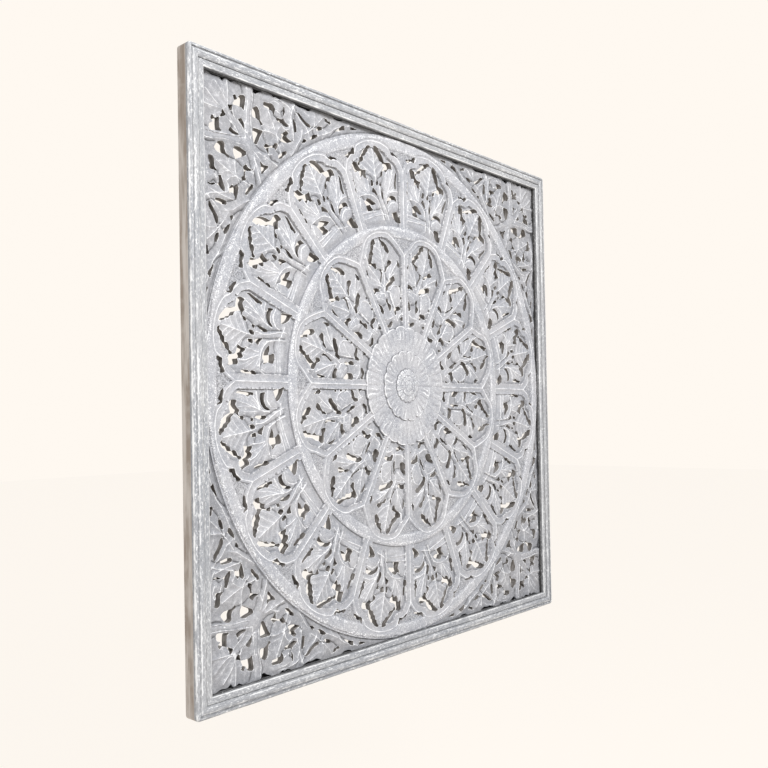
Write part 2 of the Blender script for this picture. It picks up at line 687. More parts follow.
def makeField(field, name):
    half, offset, ring, width = 180 / field["copies"], field["offset"], field["ring"], field["band"]
    slope = math.tan(math.radians(half))
    domain, radii = makeWedge(field, half)
    junction = min(radii, key=lambda r: abs(r - field["junction"]))
    at = wedgePoint(junction, half)
    arch = smoothed([(-at[0], at[1]), *shifted(field["archLine"], offset), at], 2.3, False)
    divider = np.array([wedgePoint(r, half) for r in radii if r <= junction])
    mirrored = divider * np.array([-1, 1])

    def drawn(lines, step, closed=False):
        made = [smoothed(shifted(line, offset), step, closed) for line in lines.values()]
        if closed:
            return made
        return [line[line[:, 1] * slope - np.abs(line[:, 0]) > 1.0] for line in made]  # clear of the seams

    def onSeam(points):
        return np.abs(np.abs(points[:, 0]) - points[:, 1] * slope) < 0.02

    drawing = {key: drawn(field[key], 2.4) for key in ("ridges", "veins", "grooves")}
    drawing.update(
        openings=drawn(field["openings"], 2.2, True),
        mounds=[(smoothed(shifted(outline, offset), 2.4, True), rise) for outline, rise in field["mounds"]],
        arch=[arch, divider, mirrored],
        archOutline=np.vstack([arch, divider[::-1] * 1.002, mirrored * 1.002]),
        bandWidth=width,
        ring=ring,
    )
    low, high, lip = ring["inner"], ring["outer"], surface["bandLip"]
    middle = (low + high) / 2
    ringRadii = [low + away for away in (-1.7, -0.6, 0.5, 1.8)] + [high - 1.8, high - 0.3]
    ringRadii += [middle - 3, middle, middle + 3]
    extra = [arcLine(r, half, field["arcPoints"], 0.3) for r in ringRadii]
    extra.append(offsetPoints(drawing["arch"], (0.9, lip, lip + 1.1, width * 0.5, width, width + 0.9)))

    def heightOf(points):
        return carvedHeight(points, drawing)

    lines = drawing["ridges"] + drawing["veins"] + drawing["grooves"] + [arch]
    openings, grain = drawing["openings"], field["grain"]
    motif = carvedMotif(name + "Motif", domain, onSeam, openings, lines, heightOf, grain, extra)
    return turnedPiece(motif, name, field["copies"], half)


# Outer fields: sixteen arches with a stem, three leaves and a smooth pod
outerField = {
    "copies": 16,
    "inner": 273.0,
    "outer": 425.0,
    "ring": {"inner": 404.0, "outer": 423.0},
    "junction": 372.0,  # where two arches meet on their divider
    "band": 10.5,
    "arcPoints": 40,
    "seamStep": 2.45,
    "grain": 3.0,
    "offset": (-2.5, -4.5),
    "archLine": [
        (-62, 386), (-52, 394), (-42, 398.5), (-38, 408), (-25, 414), (-12, 417), (3, 418), (20, 416),
        (32, 412), (41, 407), (46, 400), (56, 394), (66, 386),
    ],
    "openings": {
        "headRight": [
            (6, 410), (12, 410.5), (20, 406), (27, 399), (31, 391), (33, 384), (40, 384), (47, 383),
            (50, 378), (48, 371), (42, 373), (36, 370), (33, 367), (29, 370), (25, 369), (24, 363),
            (22, 360), (19, 361), (18, 366), (22, 369), (28, 373), (30, 376), (28, 380), (26, 384),
            (20, 386), (18, 391), (14, 394), (13, 399), (10, 400), (8, 405),
        ],
        "headLeft": [
            (-3, 411), (-10, 410), (-16, 404), (-22, 397), (-28, 391), (-31, 385), (-35, 383), (-34, 378),
            (-31, 378), (-29, 383), (-25, 384), (-21, 386), (-19, 390), (-20, 393), (-13, 395), (-11, 399),
            (-7, 401), (-5, 405), (-1, 408),
        ],
        "shoulderLeft": [
            (-50, 381), (-48, 375), (-46, 367), (-42, 367), (-38, 369), (-36, 362), (-32, 359), (-28, 362),
            (-25, 358), (-21, 357), (-20, 363), (-18, 371), (-24, 371), (-30, 372), (-33, 375), (-35, 379),
            (-37, 383), (-44, 384),
        ],
        "slotLeft": [
            (-54, 359), (-51, 358), (-50, 352), (-49, 347), (-51, 343), (-48, 340), (-48, 334), (-51, 331),
            (-54, 336), (-54, 345), (-55, 352),
        ],
        "dropUpper": [(-10, 345), (-9, 355), (-5, 354), (-4, 346)],
        "dropLower": [(-10, 335), (-6, 342), (-3, 341), (0, 335), (2, 328), (-5, 333)],
        "bladeUpper": [(2, 346), (2, 354), (8, 355), (9, 349), (5, 345)],
        "bladeDot": [(12, 346), (14, 351), (18, 349), (16, 344)],
        "bladeLower": [(13, 322), (11, 328), (13, 335), (17, 341), (19, 337), (17, 328), (16, 322)],
        "shoulderRight": [
            (58, 368), (60, 362), (57, 352), (54, 342), (52, 338), (48, 340), (50, 343), (49, 350),
            (52, 353), (55, 360),
        ],
        "budLeft": [
            (-35, 322), (-33, 317), (-30, 312), (-30, 304), (-22, 303), (-15, 305), (-18, 310), (-19, 314),
            (-12, 313), (-5, 315), (-10, 319), (-19, 324), (-24, 325), (-27, 324), (-29, 321), (-32, 320),
        ],
        "podOver": [
            (22, 313), (23, 320), (28, 325), (35, 328), (42, 328), (49, 325), (49, 317), (44, 320),
            (36, 321), (29, 319), (25, 315),
        ],
        "podUnder": [(33, 299), (47, 300), (49, 290), (50, 280.5), (42, 283), (36, 289), (32, 296)],
        "groundLeft": [
            (-64, 394), (-62, 388), (-57, 391), (-54, 394), (-49, 395), (-44, 395), (-43, 400), (-42, 405),
            (-47, 405), (-49, 400), (-53, 399), (-56, 398), (-58, 395),
        ],
        "groundRight": [
            (48, 407), (50, 403), (52, 400), (57, 401), (60, 398), (66, 394), (68, 390), (64, 391),
            (58, 394), (52, 395), (49, 397), (48, 401),
        ],
    },
    "ridges": {
        "headMidrib": [(1, 352), (1, 372), (2, 390), (2, 405)],
        "stemRight": [(20, 288), (16, 305), (10, 320), (7, 332), (8, 342)],
        "stemLeft": [(8, 288), (5, 303), (1, 315), (-1.5, 322)],
        "leafRightRib": [(22, 326), (29, 338), (40, 356), (46, 369)],
        "leafRightEdge": [(20, 316), (23, 326), (30, 332), (42, 335), (52, 334)],
        "leafLeftRib": [(-24, 333), (-31, 346), (-37, 356), (-39.5, 366)],
        "leafLeftSide": [(-20, 334), (-20, 346), (-18, 358)],
        "branch": [(-1, 320), (-10, 327), (-20, 330), (-34, 330), (-46, 326), (-48, 318)],
        "podEdge": [(21, 300), (24, 308), (30, 314), (38, 317), (50, 313)],
        "calyxUpper": [(-44, 299), (-28, 301), (-10, 303)],
        "calyxLower": [(-42, 289), (-18, 294), (3, 297)],
        "calyxRight": [(28, 292), (14, 296), (4, 300)],
    },
    "veins": {
        "headRight1": [(1, 360), (14, 367), (26, 376)],
        "headRight2": [(1.5, 370), (12, 378), (23, 383.5)],
        "headRight3": [(2, 382), (8, 388), (15, 391.5)],
        "headRight4": [(2, 392), (6, 396), (11, 398.5)],
        "headLeft1": [(1, 360), (-12, 369), (-28, 379.5)],
        "headLeft2": [(1.5, 370), (-9, 379), (-17, 387)],
        "headLeft3": [(2, 382), (-5, 389), (-12, 393.5)],
        "headLeft4": [(2, 392), (-2, 396), (-7, 399.5)],
        "leafRight1": [(24, 330), (27, 350), (31, 364.5)],
        "leafRight2": [(33, 345), (37, 358), (38, 369)],
        "leafRight3": [(29, 338), (44, 352), (54, 365)],
        "leafRight4": [(26, 333), (40, 341), (50, 351)],
        "leafRight5": [(28, 333.5), (39, 336.5), (47, 341)],
        "leafLeft1": [(-22, 336), (-27, 348), (-29, 359)],
        "leafLeft2": [(-28, 339), (-40, 352), (-48, 366)],
        "leafLeft3": [(-28, 335), (-38, 343), (-46, 352)],
        "leafLeft4": [(-30, 332.5), (-40, 335), (-46, 339)],
        "calyx1": [(-40, 294), (-20, 297.5), (0, 300)],
        "budVein": [(-43, 324), (-46, 314), (-42, 305)],
    },
    "grooves": {
        "headFoot": [(19, 361), (14, 358.5), (8, 356)],
        "headFootLeft": [(-19, 364), (-12, 363), (-6, 359), (-3, 352)],
        "leafLeftSide": [(-20, 357), (-16, 350), (-11, 346)],
        "leafRightSide": [(18, 349), (21, 354), (23, 361)],
        "leafRightNeck": [(19, 336), (16, 343), (12, 347)],
        "stemShadow": [(22, 296), (19, 306), (15, 321)],
        "stemShadowLeft": [(2, 328), (4, 316), (8, 302), (11, 288)],
        "budTop": [(-32, 322), (-40, 327.5), (-48, 325)],
        "calyxLine": [(-14, 304.5), (0, 306), (8, 305)],
        "slotJoin": [(-50, 331), (-51, 326), (-50, 316)],
    },
    "mounds": [
        ([
            (-47, 323), (-50, 313), (-46, 304), (-38, 301), (-31, 304), (-31, 312), (-35, 322), (-41, 326),
        ], 2.1),
        ([
            (23, 301), (31, 299), (46, 301), (52, 306), (49, 316), (43, 319), (36, 320), (29, 317),
            (24, 311),
        ], 2.3),
        ([(-40, 284), (-20, 283), (0, 286), (2, 296), (-18, 293), (-38, 288)], 1.8),
        ([
            (9, 289), (19, 290), (15, 305), (9, 320), (6, 331), (3, 345), (-1, 352), (-2, 344), (1, 330),
            (2, 316), (6, 302),
        ], 2.3),
    ],
}

# Inner fields: twelve arches round the rosette
innerField = {
    "copies": 12,
    "inner": 97.0,
    "outer": 273.0,
    "ring": {"inner": 254.5, "outer": 271.5},
    "junction": 224.5,  # where two arches meet on their divider
    "band": 7.9,
    "arcPoints": 46,
    "seamStep": 2.5,
    "grain": 2.9,
    "offset": (-1.5, -5.0),
    "archLine": [
        (-51, 232), (-43, 243), (-37, 254), (-28, 262), (-15, 267), (1.5, 269), (20, 266), (31, 260),
        (40, 251), (47, 242), (54, 232),
    ],
    "openings": {
        "headLeft": [
            (-11, 260), (-7, 258), (-7, 251), (-12, 249), (-13, 243), (-17, 240), (-15, 235), (-20, 231),
            (-22, 226), (-24, 221), (-19, 220), (-14, 219), (-14, 211), (-18, 210), (-23, 216), (-29, 218),
            (-34, 221), (-35, 227), (-30, 230), (-27, 236), (-22, 241), (-19, 247), (-17, 254),
        ],
        "headRight": [
            (4, 261), (7, 261), (10, 255), (16, 252), (22, 246), (25, 239), (26, 234), (22, 231), (18, 234),
            (14, 239), (14, 245), (9, 244), (8, 251), (5, 255),
        ],
        "neckRight": [
            (5, 202), (8, 211), (13, 212), (15, 217), (20, 221), (27, 217), (24, 213), (18, 211), (12, 208),
            (9, 204),
        ],
        "sideLeft": [(-42, 201), (-37, 193), (-38, 203), (-39, 213), (-41, 211), (-43, 205)],
        "neckLeft": [
            (-8, 208), (-4, 208), (-4, 202), (-7, 193), (-10, 185), (-12, 187), (-10, 193), (-7, 201),
        ],
        "podOver": [
            (-4, 173), (0, 182), (6, 185), (13, 189), (22, 193), (27, 190), (26, 184), (21, 183), (12, 178),
            (5, 176), (1, 170),
        ],
        "podLeftOver": [(-36, 178), (-28, 180), (-19, 177), (-19, 172), (-27, 173), (-33, 170)],
        "dotUpper": [(33.5, 171), (33.5, 175), (36.5, 175), (36.5, 171)],
        "dotMiddle": [(31.5, 160), (31.5, 164.5), (34.5, 164.5), (34.5, 160)],
        "dotLower": [(29.5, 151), (29.5, 155), (32.5, 155), (32.5, 151)],
        "stemSlot": [
            (-5, 160), (-2, 157), (-1, 150), (3, 146), (2, 139), (-1, 136), (-3, 141), (-4, 148), (-6, 154),
        ],
        "podLeftUnder": [
            (-31, 154), (-26, 153), (-22, 150), (-18, 147), (-16, 137), (-22, 134), (-27, 138), (-28, 146),
        ],
        "podUnder": [
            (7, 131), (8, 138), (12, 140), (18, 141), (23, 140), (28, 136), (22, 133), (14, 133), (11, 128),
            (8, 128),
        ],
        "footLeft": [
            (-19, 112), (-17, 117), (-12, 114.5), (-7, 118), (-2, 120), (0, 116), (-3, 112), (-7, 109),
            (-12, 110),
        ],
        "footRight": [(20, 119), (25.5, 121.5), (23.5, 114.5)],
        "sideRight": [(42, 219), (44.5, 214), (46, 209), (45, 204.5), (41, 204.5), (39, 210), (41, 214)],
    },
    "ridges": {
        "headMidrib": [(-1, 206), (0, 222), (0, 238), (0, 254)],
        "archInner": [(-35, 253), (-38, 243), (-38, 231), (-36, 223)],
        "leafLeftRib": [(-13, 178), (-17, 188), (-26, 202), (-36, 216)],
        "leafRightRib": [(4, 184), (10, 192), (24, 204), (36, 213)],
        "stemRight": [(11, 118), (8, 148), (5, 168)],
        "stemUp": [(-7, 160), (-8, 172), (-3, 186), (-1, 206)],
        "podLeftEdge": [(-8, 168), (-20, 169), (-33, 166), (-42, 160)],
        "podRightEdge": [(7, 172), (18, 178), (28, 172), (31, 160), (28, 148), (20, 143)],
        "footArc": [(-24, 128), (-12, 124), (0, 126)],
        "footArcRight": [(14, 122), (20, 126), (30, 128)],
    },
    "veins": {
        "headRight1": [(-1, 212), (10, 219), (20, 229)],
        "headRight2": [(0, 224), (8, 231), (13, 237)],
        "headRight3": [(0, 236), (4, 241), (7, 244)],
        "headLeft1": [(-1, 212), (-11, 221), (-20, 228.5)],
        "headLeft2": [(0, 224), (-8, 231), (-14, 237)],
        "headLeft3": [(0, 236), (-5, 243), (-10, 247)],
        "leafLeft1": [(-17, 188), (-20, 198), (-22, 208)],
        "leafLeft2": [(-18, 187), (-27, 193), (-35, 200)],
        "leafLeft3": [(-16, 182), (-28, 185), (-36, 188)],
        "leafRight1": [(11, 194), (16, 203), (22, 209)],
        "leafRight2": [(12, 192), (26, 197), (38, 203)],
        "leafRight3": [(13, 191.5), (24, 195), (34, 195)],
        "podRight": [(9, 150), (14, 160), (22, 168)],
        "podLeft": [(-12, 156), (-22, 161), (-34, 162)],
        "stemLeft": [(4, 120), (-0.5, 132)],
        "footLeft": [(-14, 122), (-20, 133), (-34, 146)],
        "footRight": [(24, 124), (30, 136), (38, 146)],
    },
    "grooves": {
        "headFoot": [(5, 202), (1, 203), (-4, 205)],
        "headFootLeft": [(-8, 208), (-12, 210)],
        "leafLeftSide": [(-19, 178), (-13, 183), (-10, 186)],
        "leafRightSide": [(6, 186), (4, 194), (5, 202)],
        "podShadow": [(1, 170), (3, 160), (5, 150), (8, 140)],
        "podLeftShadow": [(-16, 147), (-8, 149), (-6, 156)],
        "podLeftTop": [(-34, 170), (-42, 166), (-46, 156)],
        "footShadow": [(-26, 136), (-34, 140), (-40, 150)],
        "footShadowRight": [(27, 137), (34, 142)],
    },
    "mounds": [
        ([
            (5, 151), (10, 144), (22, 143), (29, 148), (30, 160), (27, 171), (19, 178), (10, 173), (5, 165),
        ], 2.4),
        ([
            (-8, 169), (-20, 169), (-34, 166), (-42, 160), (-38, 155), (-31, 156), (-24, 154), (-16, 149),
            (-9, 151), (-7, 160),
        ], 2.2),
        ([
            (3, 118), (11, 118), (9, 135), (6, 150), (3, 165), (-1, 180), (0, 195), (-3, 195), (-5, 182),
            (-4, 165), (2, 146),
        ], 2.2),
    ],
}

# Corner foliage, drawn for one half of a corner: distance in from one edge, then along it from the corner
cornerPlan = {
    "radius": 425.0,
    "half": 431.7,
    "grain": 2.3,
    "pitFloor": 2.5,
    "white": 0.85,
    "shade": 0.22,
    "grooveAt": 1.6,  # groove beside the outer ring
    "grooveDepth": 1.6,
    "openings": {
        "fanSide": [
            (15, 76), (17, 69), (23, 66), (18, 62), (21, 57), (26, 60), (33, 57), (33, 65), (34, 73),
            (37, 76), (26, 78), (20, 79), (16, 78.5),
        ],
        "fanNeck": [(37, 46), (44, 52), (34, 57), (36, 51)],
        "nodeSide": [(49, 72), (52, 66), (57, 70), (66, 75), (57, 76), (50, 73)],
        "bigLeafOver": [
            (24, 101), (30, 92), (37, 90), (42, 93), (42, 99), (45, 105), (50, 108), (48, 112), (43, 108),
            (35, 107), (29, 106),
        ],
        "bigLeafUnder": [
            (14, 114), (21, 114), (23, 123), (24, 129), (29, 133), (23, 134), (15, 133), (14, 125),
        ],
        "scrollSlot": [(11, 152), (17, 152), (26, 151), (19, 155), (12, 154)],
        "scrollHook": [
            (28, 152), (31, 149), (31, 139), (35, 138), (38, 147), (41, 155), (39, 161), (35, 158),
            (32, 154),
        ],
        "scrollUnder": [
            (47, 155), (52, 149), (54, 147), (58, 150), (62, 145), (65, 149), (64, 159), (60, 168),
            (57, 161), (54, 158), (49, 161),
        ],
        "stalkOver": [(25, 171), (25, 175), (34, 178), (43, 178), (44, 173), (35, 171)],
        "stalkUnder": [
            (13, 177), (13, 185), (19, 193), (23, 201), (25, 207), (29, 207), (29, 199), (23, 189),
            (17, 181),
        ],
        "tailDot": [(49, 193), (52, 191), (56, 190), (55, 195), (51, 199), (50, 196)],
        "ringSlot": [
            (77, 157), (79, 150), (84, 145), (88, 140), (92, 141), (90, 147), (86, 151), (81, 157),
        ],
        "leafStar": [
            (74, 118), (80, 113), (83, 117), (90, 120), (85, 122), (79, 123), (78, 128), (78, 133),
            (80, 136), (71, 139), (70, 134), (74, 131), (76, 125), (75, 121),
        ],
        "nodeUnder": [
            (58, 93), (57, 101), (59, 110), (66, 107), (73, 104), (80, 100), (80, 95), (73, 93), (66, 91),
        ],
        "sliver1": [(37, 220), (38, 213), (42, 208), (47, 204), (48, 208), (45, 214), (41, 219)],
        "sliver2": [(22, 233), (22, 226), (25, 220), (30, 219), (29, 226), (26, 232)],
        "sliver3": [
            (6, 233), (7, 238), (11, 239), (12, 246), (14, 248), (11, 252), (8, 251), (9, 246), (6, 243),
        ],
        "sliver4": [(20, 263), (15, 268), (10, 274), (8, 280), (11, 281), (14, 283), (16, 276), (19, 269)],
        "sliver5": [(5, 297), (10, 296), (9, 302), (6, 313), (5, 306)],
    },
    "pits": {  # ragged dark gaps between the leaf tips and the rim, cut deep but not through
        "rimFan": [
            (-1.6, 12), (-1.6, 30), (-1.6, 50), (-1.6, 66), (2, 68), (-0.5, 61), (3, 53), (0.5, 43),
            (6, 39), (1.5, 33), (2.5, 23), (0, 15),
        ],
        "rimStalk": [(-1.6, 90), (-1.6, 100), (-1.6, 112), (1.5, 110), (3, 105), (7.5, 97.5), (3, 92)],
        "rimBigLeaf": [
            (-1.6, 128), (-1.6, 138), (-1.6, 150), (1, 149), (3, 141), (1.5, 136), (3.5, 131), (1, 128),
        ],
        "rimTail": [
            (-1.6, 172), (-1.6, 190), (-1.6, 210), (0.5, 212), (4.5, 202), (3, 192), (4, 182), (1.5, 174),
        ],
        "rimEnd": [(-1.6, 255), (-1.6, 266), (-1.6, 280), (1.5, 276), (3, 268), (2, 260)],
    },
    "middleOpening": [
        (104, 104), (112, 107), (121, 107), (120, 111), (115, 115), (111, 120), (107, 121), (107, 112),
    ],
    "ridges": {
        "stalkRim": [(14, 161), (28, 165), (43, 168), (58, 170)],
        "fanNeck": [(80, 68), (68, 60), (58, 50), (52, 40)],
        "stalkUpper": [(3, 82), (20, 82), (40, 79.5), (58, 78), (76, 77)],
        "stalkLower": [(3, 90), (18, 91), (26, 89), (40, 86.5), (58, 87.5), (76, 87)],
        "bigLeafMidrib": [(88, 144), (70, 139), (53, 133), (38, 126), (24, 119)],
        "smallLeafMidrib": [(92, 100), (98, 118), (104, 136)],
        "footUpper": [(4, 172), (14, 167), (28, 164), (42, 161)],
        "footLower": [(7, 168), (16, 176), (25, 184), (33, 196), (40, 200)],
        "scroll": [(5, 124), (5, 140), (8, 156), (12, 163)],
        "scrollOuter": [(38, 187), (50, 185), (64, 176), (82, 165)],
        "tailLeafMidrib": [(45, 189), (33, 206), (21, 219), (9, 230)],
        "tailBlade": [(47, 203), (36, 228), (26, 248), (16, 262), (6, 290)],
        "fan1": [(42, 44), (33, 43), (22, 36), (10, 25)],
        "fan2": [(44, 46), (36, 46), (20, 46), (4, 45)],
        "bigLeaf1": [(58, 110), (57, 123), (61, 138), (71, 148)],
        "bigLeaf3": [(60, 135), (50, 138), (44, 143)],
        "tailLeaf2": [(26, 213), (16, 214), (8, 214)],
        "hook": [(42, 146), (46, 152), (44, 160)],
        "curl": [(24, 142), (20, 132), (12, 126), (9, 134), (12, 144)],
        "smallLeaf2": [(95, 110), (92, 118), (90, 126)],
    },
    "veins": {
        "fan3": [(51, 36), (55, 26), (61, 18)],
        "fanCurl": [(50, 26), (58, 26), (64, 30), (66, 37)],
        "fanLobe": [(36, 8), (40, 14), (40, 22)],
        "bigLeaf2": [(50, 128), (49, 120), (47, 114)],
        "bigLeaf4": [(50, 128), (40, 132), (36, 135)],
        "bigLeaf5": [(40, 118), (32, 119), (27, 121)],
        "smallLeaf1": [(95, 108), (101, 116), (104, 120)],
        "tailLeaf1": [(33, 206), (30, 213), (28, 216)],
        "tailLeaf3": [(38, 199), (44, 203)],
        "edgeLeaf": [(4, 180), (7, 192), (12, 204), (12, 218)],
        "blade1": [(30, 238), (40, 232)],
        "blade2": [(22, 252), (32, 247)],
        "blade3": [(30, 238), (24, 234)],
    },
    "grooves": {
        "fanEdge": [(44, 52), (52, 60), (54, 66)],
        "fanSideEdge": [(12, 75), (6, 74), (1, 72)],
        "stalkShadow": [(4, 94), (14, 95), (24, 93)],
        "bigLeafEdge": [(50, 109), (58, 111), (66, 113), (72, 117)],
        "bigLeafUnder": [(29, 133), (31, 139)],
        "leafUnder": [(58, 150), (66, 144), (71, 139)],
        "footShadow": [(26, 176), (18, 174), (10, 178)],
        "scrollShadow": [(17, 152), (22, 147), (27, 150)],
        "scrollEdge": [(45, 173), (56, 170), (60, 167)],
        "tailEdge": [(29, 205), (33, 210), (38, 214)],
        "tailEdge2": [(29, 205), (27, 212), (26, 219)],
        "tailRim": [(56, 190), (64, 184), (72, 180)],
        "starEdge": [(80, 136), (84, 141), (88, 143)],
        "starEdge2": [(90, 120), (96, 128), (98, 140)],
        "nodeEdge": [(82, 99), (86, 106), (88, 116)],
        "bladeEdge": [(14, 246), (20, 240), (24, 232)],
        "bladeEdge2": [(20, 263), (26, 256), (34, 250)],
    },
    "mounds": [
        ([
            (2, 82), (20, 82), (40, 80), (58, 79), (74, 78), (80, 84), (74, 87), (58, 87), (40, 86),
            (26, 89), (18, 90), (2, 90),
        ], 2.3),
        ([
            (4, 116), (11, 112), (13, 124), (13, 134), (20, 136), (25, 140), (18, 148), (10, 150), (5, 140),
        ], 2.2),
        ([(78, 68), (92, 78), (96, 92), (86, 96), (76, 90), (70, 80)], 2.3),
    ],
    "diagonal": [(50, 50), (38, 37), (26, 25), (17, 16)],
    "diagonalInner": [(92, 92), (104, 104)],
}


def makeCorners(plan):
    half, radius = plan["half"], plan["radius"]

    def both(points):  # the corner at the upper left, and its mirror image in the diagonal
        one = [(-openingHalf + b, openingHalf - a) for b, a in points]
        two = [(-openingHalf + a, openingHalf - b) for b, a in points]
        return one, two

    def drawn(lines, step, closed=False):
        return [smoothed(side, step, closed) for line in lines.values() for side in both(line)]

    drawing = {key: drawn(plan[key], 2.5) for key in ("ridges", "veins", "grooves")}
    drawing["openings"] = drawn(plan["openings"], 2.2, True)
    drawing["mounds"] = [
        (smoothed(side, 2.5, True), rise) for outline, rise in plan["mounds"] for side in both(outline)
    ]
    drawing["openings"].append(smoothed(both(plan["middleOpening"])[0], 2.2, True))
    drawing["ridges"].append(smoothed(both(plan["diagonalInner"])[0], 2.5, False))
    drawing["veins"].append(smoothed(both(plan["diagonal"])[0], 2.5, False))
    pits = drawn(plan["pits"], 2.0, True)

    arc = [wedgePoint(radius, -360 * k / around) for k in range(around // 4 + 1)]
    steps, seamSteps = round(half / 4), 2
    side = [(-half, half * k / steps) for k in range(steps)]
    top = [(-half + half * k / steps, half) for k in range(steps)]
    leftEnd = [(-radius - (half - radius) * k / seamSteps, 0.0) for k in range(1, seamSteps)]
    topEnd = [(0.0, half - (half - radius) * k / seamSteps) for k in range(seamSteps)]
    domain = arc + leftEnd + side + top + topEnd

    def heightOf(points):
        height, masks = carvedHeight(points, drawing)
        for pit in pits:
            deep = np.clip(distanceTo(points, segmentsOf(pit, True)) / 0.7, 0, 1) * insideOf(points, pit)
            height = height + (plan["pitFloor"] - height) * deep
            masks["hollow"] = np.maximum(masks["hollow"], 1.7 * deep)
            masks["wear"] = masks["wear"] * (1 - deep)
        beside = np.hypot(points[:, 0], points[:, 1]) - radius
        ringGroove = bell(beside - plan["grooveAt"], 1.3)
        height = height - plan["grooveDepth"] * ringGroove
        masks["wear"] = masks["wear"] * plan["white"]
        masks["hollow"] = np.maximum(masks["hollow"] + plan["shade"], 0.95 * ringGroove)
        underRails = np.maximum(np.abs(points[:, 0]), points[:, 1]) > openingHalf - 1.0
        return np.where(underRails, np.minimum(height, surface["underLip"]), height), masks

    def onSeam(points):
        return (np.abs(points[:, 0]) < 0.01) | (np.abs(points[:, 1]) < 0.01)

    pitLines = [closedLine(pit) for pit in pits]
    lines = drawing["ridges"] + drawing["veins"] + drawing["grooves"] + pitLines
    extra = [besideLine(line, away) for away in (0.75, -0.75) for line in pitLines]
    extra.append(np.array([wedgePoint(radius + plan["grooveAt"], -90 * k / 240) for k in range(6, 235)]))
    openings, grain = drawing["openings"], plan["grain"]
    motif = carvedMotif("cornerMotif", domain, onSeam, openings, lines, heightOf, grain, extra)
    return turnedPiece(motif, "corner_foliage", 4, 0)


# Rosette: three tiers of petals and two small ones in the boss, each a little higher than the last
rosettePlan = {
    "seed": 7,
    "uneven": 0.028,  # how much shorter a petal can be, as a share of its tier's reach
    "lively": (0.6, 1.15),  # how strongly the ribs of a petal are rubbed
    "lean": 2.5,  # the carved tiers sit a little left of the panel's middle
    "foot": 12.0,  # heights from the wall: the foot, the start of the first tier and the top of the boss
    "below": 12.4,
    "top": 21.95,
    "tiers": [
        {"petals": 24, "reach": 103.0, "inner": 57.0, "edge": 16.0, "middle": 15.7, "rings": 15,
         "swell": 1.3, "notch": 5.5, "white": 0.95, "speckle": 0.14},
        {"petals": 16, "reach": 61.0, "inner": 28.0, "edge": 18.8, "middle": 17.2, "rings": 13,
         "swell": 1.3, "notch": 5.0, "white": 0.95, "speckle": 0.12},
        {"petals": 16, "reach": 29.0, "inner": 17.0, "edge": 19.0, "middle": 20.1, "rings": 6,
         "swell": 1.0, "notch": 2.6, "white": 0.75, "speckle": 0.36},
        {"petals": 12, "reach": 17.5, "inner": 9.0, "edge": 20.6, "middle": 21.1, "rings": 6,
         "swell": 0.8, "notch": 2.2, "white": 0.6, "speckle": 0.42},
        {"petals": 8, "reach": 9.5, "inner": 1.0, "edge": 21.2, "middle": 21.8, "rings": 6,
         "swell": 0.5, "notch": 1.4, "white": 0.5, "speckle": 0.45},
    ],
}


